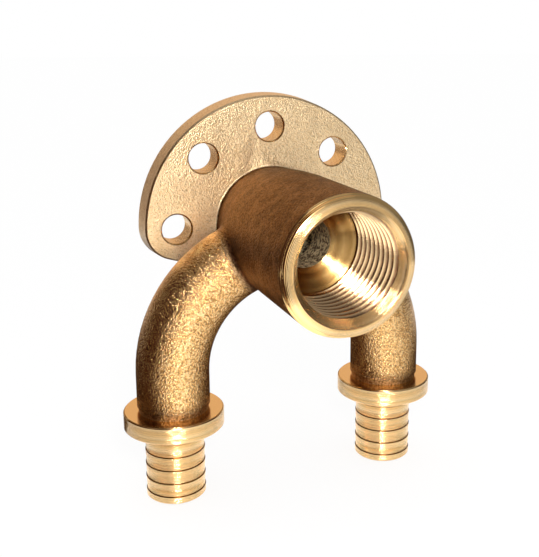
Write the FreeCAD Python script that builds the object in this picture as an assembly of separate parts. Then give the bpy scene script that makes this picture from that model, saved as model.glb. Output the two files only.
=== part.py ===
"""Double wall plate elbow: one brass casting, machined at its openings.

The frame: the wall face of the plate lies on y = 0, the socket's axis runs along -Y,
the two legs hang down along -Z, and the origin is where the socket's axis meets the wall.
"""
import FreeCAD
import Part
import math
import os
from FreeCAD import Vector

# Wall plate, in millimetres
PLATE_T = 5.5                # thickness
HOLE_CIRCLE_R = 20.0         # circle that the screw holes lie on
HOLE_COUNT = 5               # from one side of the socket over the top to the other
HOLE_ARC_DEG = 180.0         # arc that they are spread over
HOLE_R = 3.0
HOLE_BREAK = 0.3             # small chamfer at each hole's front mouth
HOLE_MARGIN = 6.7            # from a hole's centre to the edge of the plate
FOOT_LEDGE = 0.7             # plate left showing under the boss
EDGE_DRAFT = 0.35            # how far the rim draws in from back to front
BACK_BREAK = 0.5             # chamfer left by facing the back
FRONT_BREAK = 0.35           # worn front edge

# Socket boss
BOSS_LENGTH = 46.3           # wall to mouth
BOSS_R = 12.75               # cast boss behind the mouth
BOSS_TAPER = 1.25            # how much slimmer it leaves the plate
BOSS_SWELL = 18.0            # length over which it swells from root to full size
ROOT_FILLET = 0.5            # where it meets the plate
MOUTH_CUT = 0.35             # turned off the cast boss at the mouth
MOUTH_BAND = 0.6             # length of that turned band
MOUTH_CHAMFER = 0.35
MOUTH_BEVEL = 0.5            # how far the wide bevel round the countersink falls back
MOUTH_LAND = 0.1             # flat ring left between the countersink and the bevel

# Female half-inch pipe thread, bored to its minor radius
THREAD_MAJOR_R = 20.955 / 2
THREAD_MINOR_R = 18.631 / 2
COUNTERSINK_OVER = 0.27      # countersink's rim, outside the thread's major radius
COUNTERSINK_DEPTH = 2.0
TAPPING_DEPTH = 18.4         # mouth to the shoulder of the tapping hole
DRILL_POINT_DEG = 118.0      # the tapping drill leaves a cone of this angle
PORT_R = 5.0                 # cast port from the socket to the waterway

# U-shaped pipe
LEG_SPACING = 47.0           # between the two leg axes, also the bend's diameter
PIPE_R = 7.25
PIPE_SINK = 0.15             # how far the back of the pipe runs into the plate's face
BEND_DROP = 27.05            # from the socket's axis down to the bend's centre
WATERWAY_R = 4.75
SADDLE_FILLET = 1.4          # where the pipe runs into the boss
WEB_W = 6.0                  # cast web that fills the gap behind the pipe, across the pipe
WEB_INSET = 1.3              # how far inside the plate's outline it ends

# Collars and ribbed spigots
COLLAR_DROP = 34.8           # from the socket's axis down to the collar's upper face
COLLAR_R = 10.0
COLLAR_H = 3.5
COLLAR_BREAK = 0.25
NECK_R = 6.95                # turned neck just above the collar
NECK_H = 1.1
THROAT_R = 6.3               # foot of the hollow under the collar
THROAT_FILLET = 1.8
SPIGOT_R = 6.0
RIB_COUNT = 4
RIB_PITCH = 2.81
RIB_DEPTH = 0.25             # upright face of each rib, down to the groove
RIB_TAPER = 0.15             # how far each rib draws in towards the tip
GROOVE_W = 0.25
TIP_H = 1.45                 # plain end below the last groove
TIP_BREAK = 0.35             # chamfer at the tip
SPIGOT_BORE_R = 4.5

# Places worked out from the sizes above
BOSS_ROOT_R = BOSS_R - BOSS_TAPER
MOUTH_R = BOSS_R - MOUTH_CUT
COUNTERSINK_R = THREAD_MAJOR_R + COUNTERSINK_OVER
FULL_BOSS_Y = -PLATE_T - BOSS_SWELL
LEG_X = LEG_SPACING / 2
LEG_Y = -(PLATE_T - PIPE_SINK + PIPE_R)
NECK_Z = NECK_H - COLLAR_DROP
COLLAR_FOOT_Z = -COLLAR_DROP - COLLAR_H
RIBS_Z = COLLAR_FOOT_Z - THROAT_FILLET - GROOVE_W
TIP_Z = RIBS_Z - RIB_COUNT * RIB_PITCH - TIP_H

OVERRUN = 2.0                # how far joined solids lap, and cutters run past a face
ORIGIN = Vector(0, 0, 0)
SOCKET_AXIS = Vector(0, 1, 0)
LEG_AXIS = Vector(0, 0, 1)


def arc(start, middle, end):
    """An arc edge through three points."""
    return Part.Arc(start, middle, end).toShape()


def line(start, end):
    """A straight edge."""
    return Part.LineSegment(start, end).toShape()


def polyline(points):
    """Straight edges through the points in turn."""
    return [line(a, b) for a, b in zip(points, points[1:])]


def turned(edges, axis):
    """A solid of revolution about an axis through the origin, from a closed half profile."""
    return Part.Face(Part.Wire(edges)).revolve(ORIGIN, axis, 360)


def hole_angles():
    """Directions of the screw holes round the socket's axis, in radians from +X."""
    first = 90 - HOLE_ARC_DEG / 2
    step = HOLE_ARC_DEG / (HOLE_COUNT - 1)
    return [math.radians(first + step * number) for number in range(HOLE_COUNT)]


def plate_outline(y, inset):
    """The plate's outline at depth y, drawn in by inset.

    A large arc runs over the top and turns round the two lowest holes. From there straight
    sides run to the round foot under the boss, tangent to both rounds.
    """
    big = HOLE_CIRCLE_R + HOLE_MARGIN - inset
    corner = HOLE_MARGIN - inset
    foot = BOSS_ROOT_R + ROOT_FILLET + FOOT_LEDGE - inset
    low = hole_angles()[0]
    normal = low - math.acos((foot - corner) / HOLE_CIRCLE_R)

    def at(side, radius, angle):
        return Vector(side * radius * math.cos(angle), y, radius * math.sin(angle))

    def round_hole(side, angle):
        return at(side, corner, angle) + Vector(math.cos(low) * side, 0, math.sin(low)) * HOLE_CIRCLE_R

    edges = [arc(at(-1, big, low), Vector(0, y, big), at(1, big, low))]
    for side in (1, -1):
        corner_end = round_hole(side, normal)
        edges.append(arc(at(side, big, low), round_hole(side, (low + normal) / 2), corner_end))
        edges.append(line(corner_end, at(side, foot, normal)))
    edges.append(arc(at(1, foot, normal), Vector(0, y, -foot), at(-1, foot, normal)))
    return Part.Wire(Part.__sortEdges__(edges))


def wall_plate():
    """The cast plate: drafted rim, chamfered back edge and worn front edge."""
    rims = [
        plate_outline(0, BACK_BREAK),
        plate_outline(-BACK_BREAK, 0),
        plate_outline(FRONT_BREAK - PLATE_T, EDGE_DRAFT),
        plate_outline(-PLATE_T, EDGE_DRAFT + FRONT_BREAK),
    ]
    return Part.makeLoft(rims, True, True)


def screw_holes():
    """One cutter for each screw hole, with its mouth broken at the front."""
    wide = HOLE_R + HOLE_BREAK
    profile = [
        Vector(0, OVERRUN, 0),
        Vector(HOLE_R, OVERRUN, 0),
        Vector(HOLE_R, HOLE_BREAK - PLATE_T, 0),
        Vector(wide, -PLATE_T, 0),
        Vector(wide, -PLATE_T - OVERRUN, 0),
        Vector(0, -PLATE_T - OVERRUN, 0),
        Vector(0, OVERRUN, 0),
    ]
    cutter = turned(polyline(profile), SOCKET_AXIS)
    places = [Vector(math.cos(a), 0, math.sin(a)) * HOLE_CIRCLE_R for a in hole_angles()]
    return [cutter.translated(place) for place in places]


def boss_side(y):
    """A point on the boss's swelling side: an arc that ends along the socket's axis."""
    growth = BOSS_R - BOSS_ROOT_R
    arc_r = (growth ** 2 + BOSS_SWELL ** 2) / (2 * growth)
    drop = arc_r - math.sqrt(arc_r ** 2 - (y - FULL_BOSS_Y) ** 2)
    return Vector(0, y, BOSS_R - drop)


def socket_boss():
    """The cast boss, swelling from inside the plate to the turned mouth."""
    start_y = OVERRUN - PLATE_T
    bevel_y = MOUTH_BEVEL - BOSS_LENGTH
    band_y = bevel_y + MOUTH_CHAMFER + MOUTH_BAND
    start = boss_side(start_y)
    full = boss_side(FULL_BOSS_Y)
    edges = [arc(start, boss_side((start_y + FULL_BOSS_Y) / 2), full)]
    edges += polyline([
        full,
        Vector(0, band_y + MOUTH_CUT, BOSS_R),
        Vector(0, band_y, MOUTH_R),
        Vector(0, bevel_y + MOUTH_CHAMFER, MOUTH_R),
        Vector(0, bevel_y, MOUTH_R - MOUTH_CHAMFER),
        Vector(0, -BOSS_LENGTH, COUNTERSINK_R + MOUTH_LAND),
        Vector(0, -BOSS_LENGTH, 0),
        Vector(0, start_y, 0),
        start,
    ])
    return turned(edges, SOCKET_AXIS)


def boss_root():
    """The small cast fillet between the boss and the plate, as a ring round the boss."""
    foot = boss_side(-PLATE_T - ROOT_FILLET)
    flare = Vector(0, -PLATE_T, foot.z + ROOT_FILLET)
    eased = ROOT_FILLET * (1 - math.sqrt(0.5))
    middle = Vector(0, -PLATE_T - eased, foot.z + eased)
    inner_r = BOSS_ROOT_R - OVERRUN
    edges = [arc(flare, middle, foot)]
    edges += polyline([
        foot,
        Vector(0, foot.y, inner_r),
        Vector(0, OVERRUN - PLATE_T, inner_r),
        Vector(0, OVERRUN - PLATE_T, flare.z),
        flare,
    ])
    return turned(edges, SOCKET_AXIS)


def socket_bore():
    """Countersink, tapping hole with its drill point, and the cast port behind it."""
    lead = (COUNTERSINK_R - THREAD_MINOR_R) / COUNTERSINK_DEPTH * OVERRUN
    point = (THREAD_MINOR_R - PORT_R) / math.tan(math.radians(DRILL_POINT_DEG / 2))
    shoulder_y = TAPPING_DEPTH - BOSS_LENGTH
    port_end = Vector(0, LEG_Y + PORT_R, 0)
    port_round = Vector(PORT_R * math.sqrt(0.5), LEG_Y + PORT_R * math.sqrt(0.5), 0)
    edges = polyline([
        port_end,
        Vector(0, -BOSS_LENGTH - OVERRUN, 0),
        Vector(COUNTERSINK_R + lead, -BOSS_LENGTH - OVERRUN, 0),
        Vector(THREAD_MINOR_R, COUNTERSINK_DEPTH - BOSS_LENGTH, 0),
        Vector(THREAD_MINOR_R, shoulder_y, 0),
        Vector(PORT_R, shoulder_y + point, 0),
        Vector(PORT_R, LEG_Y, 0),
    ])
    edges.append(arc(Vector(PORT_R, LEG_Y, 0), port_round, port_end))
    return turned(edges, SOCKET_AXIS)


def u_tube(radius, leg_end_z):
    """A round bar along the pipe's path: half a circle over the top and two straight legs."""
    bend_centre = Vector(0, LEG_Y, -BEND_DROP)
    start = bend_centre - Vector(LEG_X, 0, 0)
    disc = Part.Face(Part.Wire(Part.makeCircle(radius, start, LEG_AXIS)))
    arch = disc.revolve(bend_centre, SOCKET_AXIS, 180)
    leg = disc.extrude(Vector(0, 0, leg_end_z + BEND_DROP))
    return arch.fuse([leg, leg.translated(Vector(LEG_SPACING, 0, 0))]).removeSplitter()


def pipe_web():
    """The cast web between the back of the bend and the plate's face."""
    start = Vector(0, LEG_Y, -BEND_DROP)
    outside = Part.makeCylinder(LEG_X + WEB_W / 2, -LEG_Y, start, SOCKET_AXIS)
    inside = Part.makeCylinder(LEG_X - WEB_W / 2, -LEG_Y, start, SOCKET_AXIS)
    footprint = Part.Face(plate_outline(OVERRUN - PLATE_T, WEB_INSET))
    return footprint.extrude(Vector(0, LEG_Y, 0)).common(outside.cut(inside))


def spigot():
    """Turned neck, collar, hollow and saw-tooth ribs, on a leg axis through the origin."""
    groove_r = SPIGOT_R - RIB_DEPTH
    rib_foot_r = SPIGOT_R - RIB_TAPER
    eased = THROAT_FILLET * (1 - math.sqrt(0.5))
    hollow_start = Vector(THROAT_R + THROAT_FILLET, 0, COLLAR_FOOT_Z)
    hollow_middle = Vector(THROAT_R + eased, 0, COLLAR_FOOT_Z - eased)
    hollow_end = Vector(THROAT_R, 0, COLLAR_FOOT_Z - THROAT_FILLET)
    top = Vector(0, 0, NECK_Z + OVERRUN)
    edges = polyline([
        top,
        Vector(NECK_R, 0, NECK_Z + OVERRUN),
        Vector(NECK_R, 0, -COLLAR_DROP),
        Vector(COLLAR_R - COLLAR_BREAK, 0, -COLLAR_DROP),
        Vector(COLLAR_R, 0, -COLLAR_DROP - COLLAR_BREAK),
        Vector(COLLAR_R, 0, COLLAR_FOOT_Z + COLLAR_BREAK),
        Vector(COLLAR_R - COLLAR_BREAK, 0, COLLAR_FOOT_Z),
        hollow_start,
    ])
    edges.append(arc(hollow_start, hollow_middle, hollow_end))
    outline = [hollow_end, Vector(groove_r, 0, RIBS_Z + GROOVE_W)]
    for number in range(RIB_COUNT):
        rib_z = RIBS_Z - number * RIB_PITCH
        foot_z = rib_z - RIB_PITCH + GROOVE_W
        outline += [Vector(groove_r, 0, rib_z), Vector(SPIGOT_R, 0, rib_z)]
        outline += [Vector(rib_foot_r, 0, foot_z), Vector(groove_r, 0, foot_z)]
    tip_top_z = TIP_Z + TIP_H
    outline += [
        Vector(groove_r, 0, tip_top_z),
        Vector(SPIGOT_R, 0, tip_top_z),
        Vector(SPIGOT_R, 0, TIP_Z + TIP_BREAK),
        Vector(SPIGOT_R - TIP_BREAK, 0, TIP_Z),
        Vector(0, 0, TIP_Z),
        top,
    ]
    return turned(edges + polyline(outline), LEG_AXIS)


def on_legs(shape):
    """The shape, made on an axis through the origin, moved to each leg."""
    return [shape.translated(Vector(side * LEG_X, LEG_Y, 0)) for side in (-1, 1)]


def saddle_edges(shape):
    """The curves where the bend of the pipe runs into the boss."""
    found = []
    for edge in shape.Edges:
        kinds = [face.Surface.TypeId for face in shape.ancestorsOfType(edge, Part.Face)]
        above_legs = edge.BoundBox.ZMin > OVERRUN - BEND_DROP
        if kinds.count("Part::GeomToroid") == 1 and above_legs:
            found.append(edge)
    return found


casting = socket_boss().fuse(u_tube(PIPE_R, NECK_Z))
casting = casting.makeFillet(SADDLE_FILLET, saddle_edges(casting))
casting = casting.fuse([wall_plate(), boss_root(), pipe_web()] + on_legs(spigot()))

bore_length = NECK_Z - TIP_Z + OVERRUN
spigot_bore = Part.makeCylinder(SPIGOT_BORE_R, bore_length, Vector(0, 0, TIP_Z - OVERRUN))
waterways = socket_bore().fuse([u_tube(WATERWAY_R, NECK_Z)] + on_legs(spigot_bore))
elbow = casting.cut([waterways] + screw_holes())

os.makedirs("parts", exist_ok=True)
elbow.Solids[0].exportStep("parts/elbow_body.step")
print("solids", len(elbow.Solids), "valid", elbow.isValid(), "cubic millimetres", round(elbow.Volume))
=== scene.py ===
# %% [markdown]
# # A double wall plate elbow in cast brass
# The real object is one brass casting. A half-round plate is screwed to the wall, a threaded
# socket takes a tap, and a bent pipe carries the water down to two ribbed spigots.
# The solid model gives every size. This script adds what the solid leaves out: the tapped
# thread, the sand-cast skin, the turned faces, the studio and the camera.

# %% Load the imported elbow
import math

import bmesh
import bpy
from mathutils import Matrix, Vector


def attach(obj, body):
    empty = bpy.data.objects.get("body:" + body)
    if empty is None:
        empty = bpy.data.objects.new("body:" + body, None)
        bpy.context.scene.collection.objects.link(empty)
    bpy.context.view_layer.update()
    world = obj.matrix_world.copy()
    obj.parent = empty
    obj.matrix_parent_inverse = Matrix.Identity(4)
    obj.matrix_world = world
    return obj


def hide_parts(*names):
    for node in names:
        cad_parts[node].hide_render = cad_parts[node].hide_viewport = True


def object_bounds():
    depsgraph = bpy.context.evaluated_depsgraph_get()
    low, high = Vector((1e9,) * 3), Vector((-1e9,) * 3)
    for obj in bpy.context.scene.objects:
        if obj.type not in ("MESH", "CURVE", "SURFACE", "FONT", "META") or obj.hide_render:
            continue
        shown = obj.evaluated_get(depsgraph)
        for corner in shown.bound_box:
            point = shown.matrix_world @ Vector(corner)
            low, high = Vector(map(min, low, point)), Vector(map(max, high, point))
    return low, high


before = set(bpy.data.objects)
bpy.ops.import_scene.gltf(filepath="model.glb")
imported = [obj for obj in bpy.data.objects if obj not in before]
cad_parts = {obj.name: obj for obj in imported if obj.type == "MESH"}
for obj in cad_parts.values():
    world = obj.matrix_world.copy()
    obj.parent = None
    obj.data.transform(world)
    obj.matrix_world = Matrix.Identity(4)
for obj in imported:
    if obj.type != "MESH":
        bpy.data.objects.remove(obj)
cad_low, cad_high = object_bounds()
MM = 0.001
print("solid model's box in mm:", [round(side / MM, 1) for side in cad_high - cad_low])

# %% [markdown]
# ## The camera
# The picture was taken from close by, a little left of the socket and above it. The numbers
# come from fitting the plate's rim, the screw holes, the mouth and the collars to the picture.
# A lens length in pixels becomes millimetres by the sensor's width over the picture's long side.
# The picture is cut a little off centre, and the lens shift takes up only that.

# %% Put the camera where the picture was taken
PICTURE_W, PICTURE_H = 539, 557
LENS_PX = 884.2
AXIS_PX = (320.8, 226.0)
CAMERA_PLACE = Vector((-61.41, -176.60, 39.29)) * MM
YAW = math.radians(23.07)
PITCH = math.radians(-12.48)
ROLL = math.radians(0.22)

lens = bpy.data.cameras.new("picture_lens")
lens.lens = LENS_PX * lens.sensor_width / PICTURE_H
lens.shift_x = (PICTURE_W / 2 - AXIS_PX[0]) / PICTURE_H
lens.shift_y = (AXIS_PX[1] - PICTURE_H / 2) / PICTURE_H
lens.clip_start = 0.01

ahead = Vector((math.sin(YAW) * math.cos(PITCH), math.cos(YAW) * math.cos(PITCH), math.sin(PITCH)))
level = Vector((math.cos(YAW), -math.sin(YAW), 0))
upward = level.cross(ahead)
right = level * math.cos(ROLL) + upward * math.sin(ROLL)
turn = Matrix((right, right.cross(ahead), -ahead)).transposed()

camera = bpy.data.objects.new("picture_camera", lens)
camera.matrix_world = Matrix.Translation(CAMERA_PLACE) @ turn.to_4x4()
bpy.context.scene.collection.objects.link(camera)
bpy.context.scene.camera = camera
print("lens", round(lens.lens, 1), "mm, shift", round(lens.shift_x, 3), round(lens.shift_y, 3))

# %% [markdown]
# ## The casting
# The solid's shape is right already, so its mesh is copied and not modelled again. It comes as
# loose triangles, one island for each face of the solid, so the copy is merged first. Merged,
# it is one closed skin, and a closed skin is what a cutter needs.

# %% Copy and merge the casting
casting = bmesh.new()
casting.from_mesh(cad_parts["elbow_body"].data)
bmesh.ops.remove_doubles(casting, verts=casting.verts, dist=0.001 * MM)
open_edges = [edge for edge in casting.edges if not edge.is_manifold]
print("casting:", len(casting.faces), "faces,", len(open_edges), "open edges")

elbow = bpy.data.objects.new("wall_plate_elbow", bpy.data.meshes.new("wall_plate_elbow"))
casting.to_mesh(elbow.data)
casting.free()
elbow.data.attributes.remove(elbow.data.attributes["custom_normal"])
bpy.context.scene.collection.objects.link(elbow)

# %% [markdown]
# ## The tap
# A half-inch pipe thread has a pitch of 1.814 mm and flanks that lean 27.5 degrees. A fitter
# cuts it with a tap, and so does this script: one groove profile is spun round the socket's
# axis and moves one pitch along it on each turn. The tap starts in the air inside the mouth's
# countersink. Its first turn grows and its last draws in, because a real tap's end teeth are
# shorter. It starts on the left of the socket, where the wall is turned away from the picture
# and hides the first notch.

# %% Sizes of the tap
MOUTH_Y = -46.3 * MM
THREAD_END_Y = -28.4 * MM
PITCH_LENGTH = 1.814 * MM
MAJOR_R = 20.955 / 2 * MM
MINOR_R = 18.631 / 2 * MM
FLANK_LEAN = math.radians(27.5)
START_DEPTH = 1.3 * MM
INSIDE_BORE = 0.2 * MM
ROOT_HALF = 0.15 * MM
STEPS_PER_TURN = 96

inner_r = MINOR_R - INSIDE_BORE
mouth_half = ROOT_HALF + (MAJOR_R - inner_r) * math.tan(FLANK_LEAN)
start_y = MOUTH_Y + START_DEPTH
turns = (THREAD_END_Y - start_y) / PITCH_LENGTH
steps = round(turns * STEPS_PER_TURN)
print("tap:", round(turns, 1), "turns in", steps, "steps")

# %% Spin the tap
tap = bmesh.new()
section = [(inner_r, -mouth_half), (MAJOR_R, -ROOT_HALF), (MAJOR_R, ROOT_HALF), (inner_r, mouth_half)]
corners = [tap.verts.new((-radius, start_y + along, 0)) for radius, along in section]
groove = [tap.edges.new(pair) for pair in zip(corners, corners[1:] + corners[:1])]
bmesh.ops.spin(
    tap, geom=groove, cent=(0, 0, 0), axis=(0, 1, 0), angle=turns * math.tau, steps=steps,
    dvec=(0, (THREAD_END_Y - start_y) / steps, 0), use_merge=False, use_duplicate=False,
)
bmesh.ops.holes_fill(tap, edges=[edge for edge in tap.edges if edge.is_boundary], sides=4)
print("spun tap:", len(tap.faces), "faces")

# %% Shorten the tap's end teeth
for vert in tap.verts:
    run_in = (vert.co.y - start_y + mouth_half) / PITCH_LENGTH
    run_out = (THREAD_END_Y + mouth_half - vert.co.y) / PITCH_LENGTH
    radius = math.hypot(vert.co.x, vert.co.z)
    wanted = inner_r + (radius - inner_r) * min(1, run_in, run_out)
    vert.co.x *= wanted / radius
    vert.co.z *= wanted / radius
bmesh.ops.recalc_face_normals(tap, faces=tap.faces)

cutter = bpy.data.objects.new("tap", bpy.data.meshes.new("tap"))
tap.to_mesh(cutter.data)
tap.free()
bpy.context.scene.collection.objects.link(cutter)
print("cutter's box in mm:", [round(side / MM, 1) for side in cutter.dimensions])

# %% Cut the thread
cut = elbow.modifiers.new("thread", "BOOLEAN")
cut.operation = "DIFFERENCE"
cut.solver = "EXACT"
cut.object = cutter
threaded = bpy.data.meshes.new_from_object(elbow.evaluated_get(bpy.context.evaluated_depsgraph_get()))
elbow.modifiers.clear()
elbow.data = threaded
bpy.data.objects.remove(cutter)
print("threaded casting:", len(threaded.polygons), "faces")

# %% [markdown]
# ## Shader maths
# A finish is a small sum over noises and distances. Built by hand, each sum needs a dozen Math
# nodes and as many links, and nobody can read it afterwards. So one class wraps a node's output:
# Python's own operators then add the Math nodes, and one method makes every other node.


# %% Wrap a shader socket
class Wire:
    """An output of a shader node that takes part in sums."""

    def __init__(self, tree, socket=None):
        self.tree = tree
        self.socket = socket

    def node(self, kind, settings, inputs, output=0):
        """A new node with its settings made first, then its inputs set or linked."""
        made = self.tree.nodes.new(kind)
        for name, value in settings.items():
            setattr(made, name, value)
        for name, value in inputs.items():
            if isinstance(value, Wire):
                self.tree.links.new(value.socket, made.inputs[name])
            else:
                made.inputs[name].default_value = value
        return None if output is None else Wire(self.tree, made.outputs[output])

    def math(self, operation, first, second=0.0):
        return self.node("ShaderNodeMath", {"operation": operation}, {0: first, 1: second})

    def __add__(self, other):
        return self.math("ADD", self, other)

    __radd__ = __add__

    def __sub__(self, other):
        return self.math("SUBTRACT", self, other)

    def __rsub__(self, other):
        return self.math("SUBTRACT", other, self)

    def __mul__(self, other):
        return self.math("MULTIPLY", self, other)

    __rmul__ = __mul__

    def __pow__(self, other):
        return self.math("POWER", self, other)


print("a wire adds, subtracts, multiplies and takes powers")


# %% Steps, noises and blends
def between(wire, low, high):
    """0 at low, 1 at high, and a smooth step in between."""
    settings = {"interpolation_type": "SMOOTHSTEP"}
    return wire.node("ShaderNodeMapRange", settings, {"Value": wire, "From Min": low, "From Max": high})


def larger(first, second):
    return first.math("MAXIMUM", first, second)


def noise(place, per_mm, detail=2.0, rough=0.5):
    """Cloudy noise with about per_mm cells in a millimetre."""
    inputs = {"Vector": place, "Scale": per_mm / MM, "Detail": detail, "Roughness": rough}
    return place.node("ShaderNodeTexNoise", {}, inputs)


def noise_along(distance, per_mm):
    """Noise in one direction only, so that it draws lines."""
    inputs = {"W": distance, "Scale": per_mm / MM}
    return distance.node("ShaderNodeTexNoise", {"noise_dimensions": "1D"}, inputs)


def blend_colour(share, first, second):
    """A colour that goes from first to second with share."""
    return share.node("ShaderNodeMix", {"data_type": "RGBA"}, {0: share, 6: first, 7: second}, output=2)


print("noise cells are counted in each millimetre, lengths are in metres, 1 mm =", MM)


# %% Empty finishes and metal
def new_finish(name):
    """An empty material, with the place on the object in metres."""
    material = bpy.data.materials.new(name)
    material.use_nodes = True
    material.node_tree.nodes.clear()
    return material, Wire(material.node_tree).node("ShaderNodeTexCoord", {}, {}, output=3)


def parts_of(place):
    """The three coordinates of a place, one wire each."""
    return [place.node("ShaderNodeSeparateXYZ", {}, {0: place}, output=axis) for axis in range(3)]


def bumpy(height, depth_mm):
    """A normal that leans with the slopes of height, where one unit is depth_mm deep."""
    return height.node("ShaderNodeBump", {}, {"Height": height, "Distance": depth_mm * MM})


def metal(colour, rough, normal, metallic=1.0, edge=(1, 1, 1, 1)):
    """Metal, with the tint that its reflections take on at the edges."""
    inputs = {"Base Color": colour, "Roughness": rough, "Metallic": metallic, "Normal": normal}
    return colour.node("ShaderNodeBsdfPrincipled", {}, {**inputs, "Specular Tint": edge})


def join_output(shader):
    shader.node("ShaderNodeOutputMaterial", {}, {"Surface": shader}, output=None)


print("metal helpers are ready for", elbow.name)

# %% [markdown]
# ## The sand-cast skin
# The casting comes out of a sand mould, so its skin is full of grains and pits a few tenths of a
# millimetre wide. On the flat plate the sand is finer and the skin pale. On the legs it is golden
# with dark pits. The boss, the corner behind the pipe and the foot of each leg beside the collar get
# painted shade: a darker brown tone that stands in for the shade and the dark reflections there. A
# picture could carry all that, but it would need an unwrapped mesh and would blur close up. Noise on
# Object coordinates stays sharp and needs no seams. Masks from the coordinates say where the shade is
# painted, and a Mix Shader joins the bare metal and the metal with painted shade there.

# %% Where the shade is painted and where the skin is flat
SHADE_FULL_R, FADED_R = 12.9 * MM, 15.0 * MM
PLATE_Y, BOSS_Y = -5.51 * MM, -5.65 * MM
PLATE_SKIN_Y, LEG_SKIN_Y = -5.7 * MM, -7.0 * MM
UNSHADED_Z, SHADED_Z = -31.5 * MM, -34.2 * MM
CORNER_OPEN_Y, CORNER_DEEP_Y, CORNER_FOOT_Y = -10.5 * MM, -7.5 * MM, -6.2 * MM
COLLAR_SHADE, CORNER_SHADE = 0.75, 0.8

cast_skin, place = new_finish("cast_skin")
x, y, z = parts_of(place)
socket_r = (x * x + z * z) ** 0.5
# Painted shade: the boss, the foot of each leg and the corner behind the pipe get a darker tone.
on_boss = between(socket_r, FADED_R, SHADE_FULL_R) * between(y, PLATE_Y, BOSS_Y)
on_plate = between(y, LEG_SKIN_Y, PLATE_SKIN_Y)
by_collar = between(z, UNSHADED_Z, SHADED_Z) * COLLAR_SHADE
in_corner = between(y, CORNER_OPEN_Y, CORNER_DEEP_Y) * between(y, PLATE_SKIN_Y, CORNER_FOOT_Y)
behind_pipe = in_corner * CORNER_SHADE
painted_shade = larger(larger(on_boss, by_collar), behind_pipe)
print("brown skin: whole inside", round(SHADE_FULL_R / MM, 1), "mm, gone at", round(FADED_R / MM, 1), "mm")

# %% Noises of the skin
GRAINS_PER_MM, SAND_PER_MM = 2.6, 3.4
LUMPS_PER_MM, WAVES_PER_MM, PATCHES_PER_MM = 1.1, 0.12, 0.35

grain = noise(place, GRAINS_PER_MM, rough=0.6)
sand = noise(place, SAND_PER_MM, rough=0.6)
lumps = noise(place, LUMPS_PER_MM)
waves = noise(place, WAVES_PER_MM)
patches = noise(place, PATCHES_PER_MM, detail=3.0, rough=0.6)
print("grains in a millimetre:", GRAINS_PER_MM, "on the legs,", SAND_PER_MM, "on the plate")

# %% Colours of the skin
LEG_PALE, LEG_GOLD = (0.93, 0.62, 0.30, 1), (0.80, 0.44, 0.15, 1)
PLATE_PALE, PLATE_GOLD = (0.99, 0.75, 0.46, 1), (0.90, 0.62, 0.32, 1)
# The third pair of tones is painted shade: dark brown for the boss, the corner and the leg feet.
SHADE_PALE, SHADE_DEEP = (0.44, 0.245, 0.122, 1), (0.15, 0.077, 0.037, 1)
LEG_SPREAD, PLATE_SPREAD, SHADE_SPREAD = (0.42, 0.62), (0.35, 0.6), (0.4, 0.62)
PATCH_SHARE = 0.4

leg_tone = blend_colour(between(grain, *LEG_SPREAD), LEG_GOLD, LEG_PALE)
plate_tone = blend_colour(between(sand, *PLATE_SPREAD), PLATE_GOLD, PLATE_PALE)
bare_tone = blend_colour(on_plate, leg_tone, plate_tone)
mottling = patches * PATCH_SHARE + grain * (1 - PATCH_SHARE)
# Painted shade, mottled with grain and broad patches; it is the last tone printed below.
shade_tone = blend_colour(between(mottling, *SHADE_SPREAD), SHADE_DEEP, SHADE_PALE)
print("skin tones: legs", LEG_PALE[:3], "plate", PLATE_PALE[:3], "oxide", SHADE_PALE[:3])

# %% Pits and heights of the skin
PITTED = (0.46, 0.32)
PIT_SHARE, PLATE_PIT_LOSS, SHADE_PIT_SHARE = 0.75, 0.35, 0.8
SAND_HEIGHT, LUMP_HEIGHT, PLATE_LUMP_LOSS, WAVE_HEIGHT = 0.5, 0.4, 0.2, 1.2
SKIN_DEPTH_MM = 0.24

pits = between(grain, *PITTED) * (PIT_SHARE - on_plate * PLATE_PIT_LOSS)
fine = grain * (1.0 - on_plate) + sand * on_plate * SAND_HEIGHT
height = fine + lumps * (LUMP_HEIGHT - on_plate * PLATE_LUMP_LOSS) + waves * WAVE_HEIGHT
leaning = bumpy(height, SKIN_DEPTH_MM)
print("grains stand up to", SKIN_DEPTH_MM, "mm")

# %% Join bare metal and metal with painted shade
PIT_BROWN, PIT_BLACK = (0.30, 0.15, 0.05, 1), (0.05, 0.025, 0.012, 1)
SHADE_EDGE = (0.62, 0.54, 0.48, 1)
SKIN_ROUGH, LUMP_ROUGH, PLATE_ROUGH, SHADE_ROUGH = 0.2, 0.08, 0.06, 0.1

rough = SKIN_ROUGH + lumps * LUMP_ROUGH + on_plate * PLATE_ROUGH
bare = metal(blend_colour(pits, bare_tone, PIT_BROWN), rough, leaning)
# Painted shade: a darker metal with black pits, mixed in where the shade mask says.
shaded_colour = blend_colour(pits * SHADE_PIT_SHARE, shade_tone, PIT_BLACK)
brown = metal(shaded_colour, rough + SHADE_ROUGH, leaning, edge=SHADE_EDGE)
join_output(bare.node("ShaderNodeMixShader", {}, {0: painted_shade, 1: bare, 2: brown}))
print("cast skin:", len(cast_skin.node_tree.nodes), "nodes")

# %% [markdown]
# ## Turned and drilled faces
# The collars, spigots, mouth and wall face are cut on a lathe. The tool leaves a fine groove at each
# turn, so light spreads across the grooves and draws a bright line along the part. An anisotropic
# shader could fake that, but real grooves in the bump do it on every view. A sine over the distance
# that the tool travels makes them, and a one-way noise lets their spacing wander. On the legs the tool
# travels along z. Round the socket it travels outwards and along y at the same time.

# %% Turned collars, spigots and mouth
FEED = 0.16 * MM
WANDERS_PER_MM, WANDER_TURN = 0.9, 9.0
TURNED_SPREAD = (0.2, 0.8)
TURNED_ROUGH, WANDER_ROUGH = 0.15, 0.05
MOUTH_LEAN = 0.37
TURNED_PALE, TURNED_DEEP = (0.96, 0.67, 0.34, 1), (0.90, 0.56, 0.22, 1)


def along_leg(x, y, z):
    return z


def out_from_socket(x, y, z):
    return (x * x + z * z) ** 0.5 - MOUTH_LEAN * y


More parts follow.
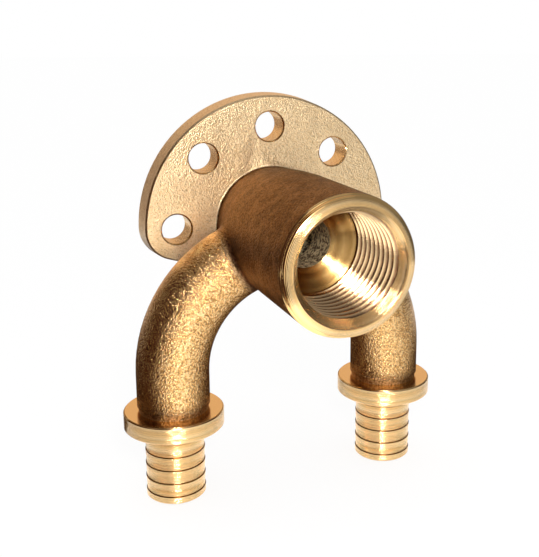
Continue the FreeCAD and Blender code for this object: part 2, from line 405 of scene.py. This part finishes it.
def turned(name, travel_of, slope, pale=TURNED_PALE, deep=TURNED_DEEP):
    """Metal with one groove for each feed of the tool, as steep as slope."""
    material, place = new_finish(name)
    travel = travel_of(*parts_of(place))
    wander = noise_along(travel, WANDERS_PER_MM)
    groove = travel.math("SINE", travel * (math.tau / FEED) + wander * WANDER_TURN)
    colour = blend_colour(between(wander, *TURNED_SPREAD), deep, pale)
    depth_mm = slope * FEED / math.tau / MM
    join_output(metal(colour, TURNED_ROUGH + wander * WANDER_ROUGH, bumpy(groove, depth_mm)))
    return material


turned_leg = turned("turned_leg", along_leg, slope=0.65)
turned_mouth = turned("turned_mouth", out_from_socket, slope=0.6)
print("turned faces: a groove each", round(FEED / MM, 2), "mm")

# %% Drill point and rib grooves
# Painted shade: the drill point deep in the socket gets a darker tone than the turned faces.
DRILL_SHADE_PALE, DRILL_SHADE_DEEP = (0.66, 0.41, 0.15, 1), (0.52, 0.30, 0.10, 1)
# Painted shade: the grooves between the ribs get a dark brown tone.
GROOVE_SHADE_PALE, GROOVE_SHADE_DEEP = (0.34, 0.18, 0.07, 1), (0.24, 0.13, 0.05, 1)

drilled = turned("drilled", out_from_socket, 0.1, DRILL_SHADE_PALE, DRILL_SHADE_DEEP)
rib_groove = turned("rib_groove", along_leg, 0.2, GROOVE_SHADE_PALE, GROOVE_SHADE_DEEP)
print("darker turned faces:", drilled.name, rib_groove.name)

# %% [markdown]
# ## The tapped thread
# A tap leaves bright crests. The roots get painted shade, a dark tone that grows with depth. The helix
# is in the mesh, so the finish only has to know how deep a point lies. That is its distance from the
# socket's axis. A slow noise makes the painted shade a little uneven, and the roughness too.

# %% Bright crests and roots with painted shade
CREST, ROOT_SHADE = (0.95, 0.66, 0.36, 1), (0.24, 0.11, 0.05, 1)
CREST_R, ROOT_R = 9.33 * MM, 9.85 * MM
THREAD_WANDERS_PER_MM, SHADE_WANDER_SHARE = 0.6, 0.6
SCRATCHES_PER_MM, SCRATCH_DEPTH_MM = 4.0, 0.02
TAPPED_ROUGH, THREAD_WANDER_ROUGH = 0.07, 0.07

tapped, place = new_finish("tapped")
x, y, z = parts_of(place)
depth = between((x * x + z * z) ** 0.5, CREST_R, ROOT_R)
shade_and_rough_wander = noise(place, THREAD_WANDERS_PER_MM, detail=3.0, rough=0.6)
# Painted shade in the roots, uneven along the slow noise.
colour = blend_colour(depth * (SHADE_WANDER_SHARE + shade_and_rough_wander * SHADE_WANDER_SHARE), CREST, ROOT_SHADE)
scratched = bumpy(noise(place, SCRATCHES_PER_MM), SCRATCH_DEPTH_MM)
join_output(metal(colour, TAPPED_ROUGH + shade_and_rough_wander * THREAD_WANDER_ROUGH, scratched))
print("thread finish:", len(tapped.node_tree.nodes), "nodes")

# %% [markdown]
# ## The cast waterway
# A sand core keeps the waterway open while the metal sets. Its walls stay rough and dull, with grains
# of sand and scale in them. So this finish is hardly metal at all, and its grains are coarser than
# those of the skin outside.

# %% Rough walls of the waterway
CORE_PALE, CORE_DEEP = (0.95, 0.76, 0.46, 1), (0.14, 0.08, 0.035, 1)
CORE_SPREAD = (0.38, 0.62)
SCALES_PER_MM, SCALE_DEPTH_MM = 1.8, 0.3
CORE_ROUGH, SCALE_ROUGH, CORE_METALLIC = 0.5, 0.2, 0.15

core_skin, place = new_finish("core_skin")
scale = noise(place, SCALES_PER_MM, rough=0.6)
colour = blend_colour(between(scale, *CORE_SPREAD), CORE_DEEP, CORE_PALE)
scaly = bumpy(scale, SCALE_DEPTH_MM)
join_output(metal(colour, CORE_ROUGH + scale * SCALE_ROUGH, scaly, metallic=CORE_METALLIC))
print("waterway finish:", len(core_skin.node_tree.nodes), "nodes")

# %% [markdown]
# ## A finish for each face
# On the real part a face is either cast, turned, tapped, drilled or cored, and its place tells which.
# Picking faces by hand would break with the next change of size. So one function looks at the middle
# of a face, in millimetres: how far it lies from the socket's axis, from the pipe's middle line and
# from the screw holes. Flat faces stay flat shaded, and sharp edges are kept where faces meet steeply.

# %% Find the finish of a face
FINISHES = [cast_skin, turned_leg, turned_mouth, tapped, drilled, core_skin, rib_groove]
CAST, TURNED_LEG, TURNED_MOUTH, TAPPED, DRILLED, CORE, RIB_GROOVE = range(len(FINISHES))
LEG_X, LEG_Y, BEND_Z = 23.5, -12.6, -27.05
COLLAR_Z, RIBS_Z, TIP_Z = -34.75, -40.2, -52.5
BORE_Y, SHOULDER_Y, CONE_END_Y, PORT_Y, BACK_FACE_Y = -44.4, -27.9, -25, -26, -0.01
HOLE_CIRCLE_R, HOLE_REACH = 20, 3.35
WATERWAY_R, PORT_R, THREAD_R = 4.9, 5.05, 10.6
GROOVE_LOW_R, GROOVE_HIGH_R = 5.0, 5.8
UPRIGHT = 0.5
hole_angles = [math.radians(45 * number) for number in range(5)]
holes = [(HOLE_CIRCLE_R * math.cos(angle), HOLE_CIRCLE_R * math.sin(angle)) for angle in hole_angles]


def from_pipe_line(x, y, z):
    """Distance from the middle line of the bent pipe."""
    sideways = math.hypot(x, z - BEND_Z) if z > BEND_Z else abs(x)
    return math.hypot(sideways - LEG_X, y - LEG_Y)


def finish_of(face):
    """The slot of a face, from where its middle lies."""
    x, y, z = face.center / MM
    socket_r = math.hypot(x, z)
    pipe_r = from_pipe_line(x, y, z)
    if y > BACK_FACE_Y:
        return TURNED_MOUTH
    if z < COLLAR_Z:
        at_ribs = TIP_Z < z < RIBS_Z and abs(face.normal.z) < UPRIGHT
        in_groove = at_ribs and GROOVE_LOW_R < pipe_r < GROOVE_HIGH_R
        return RIB_GROOVE if in_groove else TURNED_LEG
    if pipe_r < WATERWAY_R or (socket_r < PORT_R and y > PORT_Y):
        return CORE
    if socket_r < THREAD_R and BORE_Y < y < CONE_END_Y:
        return TAPPED if y < SHOULDER_Y else DRILLED
    near_hole = min(math.hypot(x - hole_x, z - hole_z) for hole_x, hole_z in holes) < HOLE_REACH
    return TURNED_MOUTH if y < BORE_Y or near_hole else CAST


print("finishes:", [finish.name for finish in FINISHES])

# %% Paint the elbow and hand it over
SQUARE_ON = 0.9999
SHARP_ANGLE = math.radians(28)


def is_flat(face):
    """True where a face looks straight along y, or straight along z on a leg's end."""
    on_leg = face.center.z < COLLAR_Z * MM
    return abs(face.normal.y) > SQUARE_ON or (on_leg and abs(face.normal.z) > SQUARE_ON)


for finish in FINISHES:
    elbow.data.materials.append(finish)
for face in elbow.data.polygons:
    face.material_index = finish_of(face)
    face.use_smooth = not is_flat(face)
elbow.data.set_sharp_from_angle(angle=SHARP_ANGLE)
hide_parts("elbow_body")
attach(elbow, "root")

slots = [face.material_index for face in elbow.data.polygons]
print("faces of each finish:", {finish.name: slots.count(slot) for slot, finish in enumerate(FINISHES)})

# %% [markdown]
# ## The white floor
# The picture has a white ground and hardly a shadow. More light would burn out the brass, so the floor
# glows instead, but only for the camera and for reflections. A share of it stays plain paper, which
# keeps the shadow of the part. The world is the same white, so that no horizon shows.

# %% White paper that glows
GLOW_SHARE = 0.85
PAPER_TONE, WHITE = (0.96, 0.96, 0.96, 1), (1, 1, 1, 1)

white_paper, place = new_finish("white_paper")
camera_ray = place.node("ShaderNodeLightPath", {}, {}, output=0)
glossy_ray = place.node("ShaderNodeLightPath", {}, {}, output=3)
paper = place.node("ShaderNodeBsdfDiffuse", {}, {"Color": PAPER_TONE})
glow = place.node("ShaderNodeEmission", {}, {"Color": WHITE, "Strength": 1.0})
glowing = larger(camera_ray, glossy_ray) * GLOW_SHARE
join_output(place.node("ShaderNodeMixShader", {}, {0: glowing, 1: paper, 2: glow}))
print("paper glows with a share of", GLOW_SHARE)

# %% Lay the floor
FLOOR_HALF = 3.0
FLOOR_GAP = 0.2 * MM
floor_z = cad_low.z - FLOOR_GAP

scene = bpy.context.scene
scene.view_settings.view_transform = "Standard"


def staged(name, sheet, material):
    """An object of the set, from a bmesh that is used up."""
    mesh = bpy.data.meshes.new(name)
    sheet.to_mesh(mesh)
    sheet.free()
    mesh.materials.append(material)
    made = bpy.data.objects.new(name, mesh)
    scene.collection.objects.link(made)
    return made


ground = bmesh.new()
bmesh.ops.create_grid(ground, x_segments=1, y_segments=1, size=FLOOR_HALF)
bmesh.ops.translate(ground, verts=ground.verts, vec=(0, 0, floor_z))
staged("floor", ground, white_paper)
print("floor at z", round(floor_z / MM, 2), "mm")

# %% Fill the world with white
world = bpy.data.worlds.new("white_room")
scene.world = world
world.use_nodes = True
world.node_tree.nodes.clear()
white = Wire(world.node_tree).node("ShaderNodeBackground", {}, {"Color": WHITE, "Strength": 1.0})
white.node("ShaderNodeOutputWorld", {}, {"Surface": white}, output=None)
print("world:", world.name)

# %% [markdown]
# ## Cards for the reflections
# Brass has hardly a colour of its own to show: it mirrors what stands round it. In the picture the left
# sides are dark brown, the fronts gold and the collars pale, so the room must be dark on the left and
# bright in front and below. A photographer hangs cards for that, and so does this set. Only reflections
# see the cards. They stand like a box round the part, and none is between it and the flash that follows.
# Sheets on the floor are part of it. The skirt lies level with the collars and hides the bright floor
# from the legs, while the spigots below it still mirror the white.


# %% Make a card
def card(name, centre, width, height, facing, shade):
    """A flat glowing card that only reflections see."""
    paint, place = new_finish(name)
    join_output(place.node("ShaderNodeEmission", {}, {"Color": (*shade, 1), "Strength": 1.0}))
    sheet = bmesh.new()
    bmesh.ops.create_grid(sheet, x_segments=1, y_segments=1, size=0.5)
    bmesh.ops.scale(sheet, verts=sheet.verts, vec=(width, height, 1))
    turned_to = Vector(facing).to_track_quat("Z", "Y").to_matrix().to_4x4()
    bmesh.ops.transform(sheet, matrix=Matrix.Translation(centre) @ turned_to, verts=sheet.verts)
    made = staged(name, sheet, paint)
    made.visible_camera = False
    made.visible_shadow = False
    made.visible_diffuse = False


def grey(level):
    return (level, level, level)


DARK = (0.05, 0.022, 0.010)
WARM = (0.8, 0.6, 0.42)
RIGHTWARD, LEFTWARD = (1, 0, 0), (-1, 0, 0)
BACKWARD, FORWARD = (0, 1, 0), (0, -1, 0)
UPWARD, DOWNWARD = (0, 0, 1), (0, 0, -1)
print("dark cards glow at", DARK)

# %% Hang the walls and the ceiling
LEFT_X, RIGHT_X = -0.2, 0.2
FRONT_Y, BACK_Y = -0.3, 0.2
FOOT_Z, SPLIT_Z, CEILING_Z = -0.053, 0.05, 0.4
UPPER, LOWER, WHOLE = (SPLIT_Z, CEILING_Z), (FOOT_Z, SPLIT_Z), (FOOT_Z, CEILING_Z)


def wall(name, x, y, width, band, facing, shade):
    """An upright card, where band gives its lower and its upper edge."""
    bottom, top = band
    card(name, (x, y, (bottom + top) / 2), width, top - bottom, facing, shade)


wall("left_flag", LEFT_X, -0.07, 0.46, WHOLE, RIGHTWARD, DARK)
wall("window", -0.06, FRONT_Y, 0.12, UPPER, BACKWARD, grey(1.3))
wall("window_edge", -0.16, FRONT_Y, 0.08, UPPER, BACKWARD, DARK)
wall("under_window", -0.1, FRONT_Y, 0.2, LOWER, BACKWARD, grey(1.2))
wall("front_flag", 0.1, FRONT_Y, 0.2, UPPER, BACKWARD, grey(0.24))
wall("low_front", 0.065, FRONT_Y, 0.13, LOWER, BACKWARD, grey(1.1))
wall("low_front_end", 0.165, FRONT_Y, 0.07, LOWER, BACKWARD, grey(0.7))
wall("right_wall", RIGHT_X, -0.05, 0.5, UPPER, LEFTWARD, grey(0.25))
wall("right_foot", RIGHT_X, -0.05, 0.5, LOWER, LEFTWARD, grey(0.15))
wall("back_wall", 0.05, BACK_Y, 0.3, WHOLE, FORWARD, WARM)
wall("back_flag", -0.15, BACK_Y, 0.1, WHOLE, FORWARD, DARK)
card("ceiling", (0.0, -0.05, CEILING_Z), 0.4, 0.5, DOWNWARD, grey(0.4))
print("walls stand from x", LEFT_X, "to", RIGHT_X, "and from y", FRONT_Y, "to", BACK_Y, "metres")

# %% Lay the sheets on the floor
SKIRT_Z = -0.03495
SHEET_LIFT = 0.5 * MM
sheet_z = cad_low.z + SHEET_LIFT


def lay(name, x, y, width, depth, shade, z=sheet_z):
    """A level card that faces upwards."""
    card(name, (x, y, z), width, depth, UPWARD, shade)


lay("near_left_sheet", -0.0225, -0.095, 0.045, 0.10, grey(2.2))
lay("left_edge_sheet", -0.055, -0.095, 0.02, 0.10, DARK)
lay("near_right_sheet", 0.075, -0.095, 0.15, 0.10, grey(0.8))
lay("far_left_sheet", -0.1, -0.2225, 0.2, 0.155, grey(0.8))
lay("far_right_sheet", 0.1, -0.2225, 0.2, 0.155, grey(1.3))
lay("left_sheet", -0.1325, -0.0125, 0.135, 0.265, DARK)
lay("left_back_sheet", -0.05, 0.065, 0.03, 0.11, DARK)
lay("island", 0.0, -0.0175, 0.13, 0.055, grey(1.4))
lay("skirt", 0.0, 0.024, 0.12, 0.092, DARK, SKIRT_Z)
print("sheets lie at z", round(sheet_z / MM, 2), "mm, the skirt at", round(SKIRT_Z / MM, 2), "mm")

# %% [markdown]
# ## The flash
# A white streak runs down each spigot and across the thread in the picture, as a small flash beside
# the lens would draw it. So one small disc lamp stands there. A larger lamp would blur the streak.

# %% Hang the flash
FLASH_PLACE = Vector((-48, -185, 62)) * MM
FLASH_AIM = Vector((0, -20, -10)) * MM
FLASH_WIDTH = 30 * MM
FLASH_WATTS = 0.15

flash = bpy.data.lights.new("flash", "AREA")
flash.shape = "DISK"
flash.size = FLASH_WIDTH
flash.energy = FLASH_WATTS
flash_stand = bpy.data.objects.new("flash", flash)
flash_stand.location = FLASH_PLACE
flash_stand.rotation_euler = (FLASH_AIM - FLASH_PLACE).to_track_quat("-Z", "Y").to_euler()
scene.collection.objects.link(flash_stand)
print("flash:", FLASH_WATTS, "W,", round((FLASH_AIM - FLASH_PLACE).length / MM), "mm from its aim")
